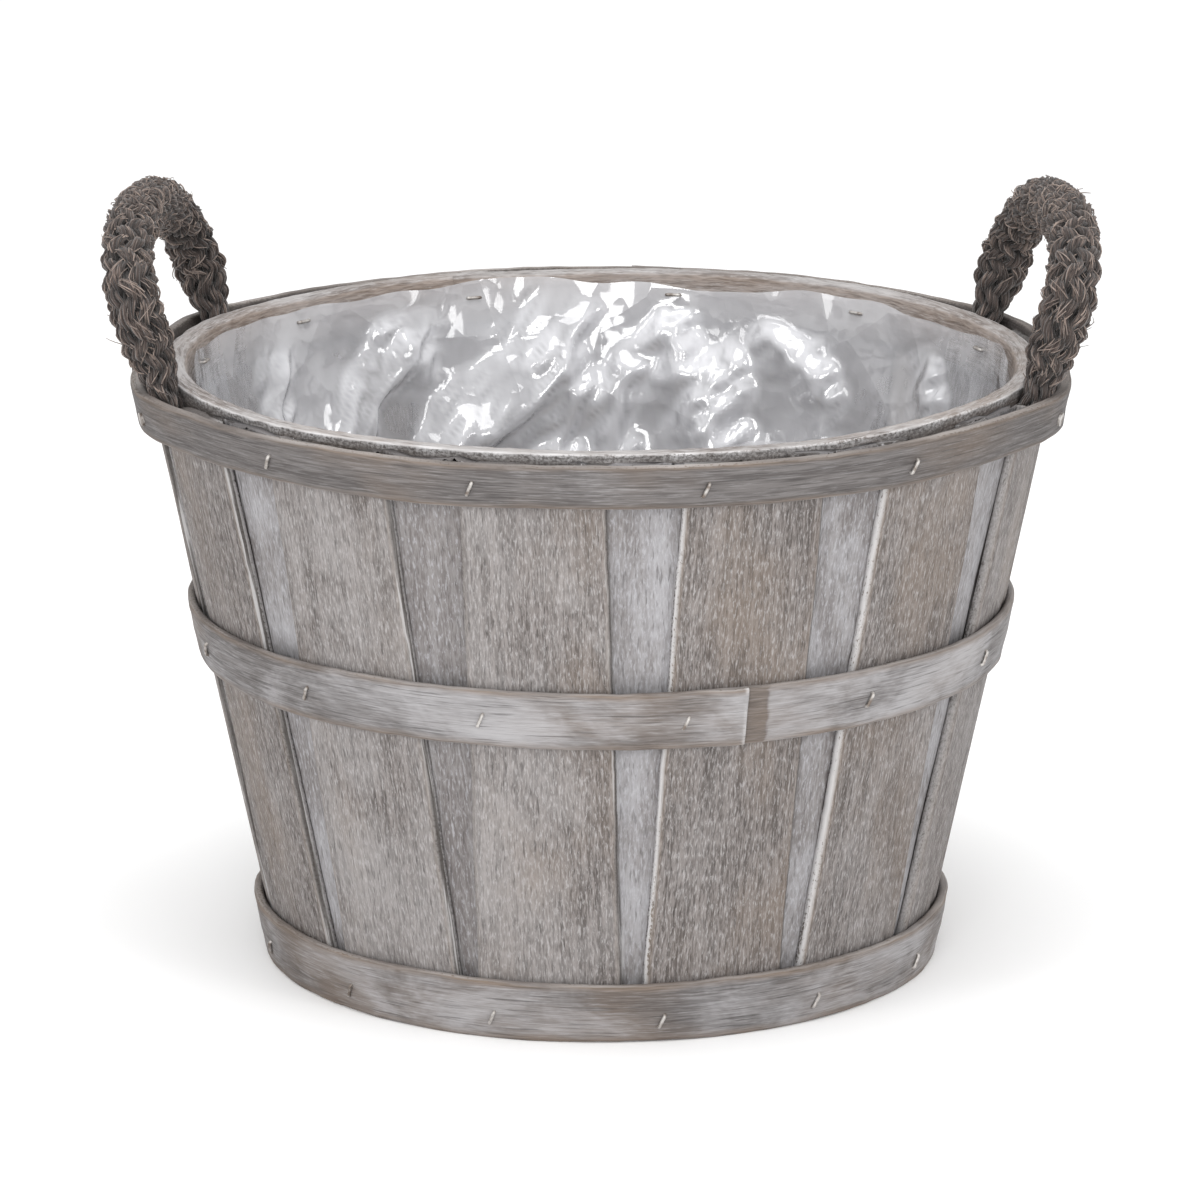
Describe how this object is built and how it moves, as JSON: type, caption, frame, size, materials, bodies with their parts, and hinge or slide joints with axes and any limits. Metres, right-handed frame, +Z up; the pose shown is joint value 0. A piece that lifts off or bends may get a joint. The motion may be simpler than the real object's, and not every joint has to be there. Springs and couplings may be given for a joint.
{
  "type": "planter basket",
  "caption": "Round tapering split-wood planter basket with bent wood hoops, a clear film liner and two twisted rope handles.",
  "frame": {"origin": "on the floor, at the centre of the foot", "axes": "+Z up, the front is -Y, and the rope handles are at the +X and -X sides"},
  "size_m": [0.3176, 0.3008, 0.2504],
  "materials": {
    "outer_stave_wood": "grey-brown whitewashed split wood with open grain",
    "inner_stave_wood": "paler whitewashed split wood",
    "hoop_wood": "bent strip wood, whitewashed, with worn brown edges",
    "board_wood": "plain board",
    "film": "clear wrinkled plastic film",
    "rope": "coarse three-strand natural fibre rope",
    "wire": "dull wire"
  },
  "bodies": {
    "basket": {"outer_stave_01": "outer_stave_wood", "outer_stave_02": "outer_stave_wood", "outer_stave_03": "outer_stave_wood", "outer_stave_04": "outer_stave_wood", "outer_stave_05": "outer_stave_wood", "outer_stave_06": "outer_stave_wood", "outer_stave_07": "outer_stave_wood", "outer_stave_08": "outer_stave_wood", "outer_stave_09": "outer_stave_wood", "outer_stave_10": "outer_stave_wood", "outer_stave_11": "outer_stave_wood", "outer_stave_12": "outer_stave_wood", "outer_stave_13": "outer_stave_wood", "inner_stave_01": "inner_stave_wood", "inner_stave_02": "inner_stave_wood", "inner_stave_03": "inner_stave_wood", "inner_stave_04": "inner_stave_wood", "inner_stave_05": "inner_stave_wood", "inner_stave_06": "inner_stave_wood", "inner_stave_07": "inner_stave_wood", "inner_stave_08": "inner_stave_wood", "inner_stave_09": "inner_stave_wood", "inner_stave_10": "inner_stave_wood", "inner_stave_11": "inner_stave_wood", "inner_stave_12": "inner_stave_wood", "inner_stave_13": "inner_stave_wood", "rim_outer_hoop": "hoop_wood", "rim_inner_hoop": "hoop_wood", "middle_hoop": "hoop_wood", "foot_hoop": "hoop_wood", "base_board": "board_wood", "liner": "film", "rim_staples": "wire", "middle_staples": "wire", "foot_staples": "wire", "liner_staples": "wire", "handle_nails": "wire", "right_front_rope_end": "rope", "right_rear_rope_end": "rope", "left_front_rope_end": "rope", "left_rear_rope_end": "rope"},
    "right_handle": {"right_handle_rope": "rope"},
    "left_handle": {"left_handle_rope": "rope"}
  },
  "joints": [
    {"name": "right_handle_swing", "type": "hinge", "parent": "basket", "child": "right_handle", "pos_m": [0.13557, 0.01186, 0.20448], "axis": [-0.0872, 0.9962, 0], "range_deg": [-50, 55], "stiffness_Nm_per_rad": 0.6},
    {"name": "left_handle_swing", "type": "hinge", "parent": "basket", "child": "left_handle", "pos_m": [-0.13557, 0.01186, 0.20448], "axis": [-0.0872, -0.9962, 0], "range_deg": [-50, 55], "stiffness_Nm_per_rad": 0.6}
  ]
}
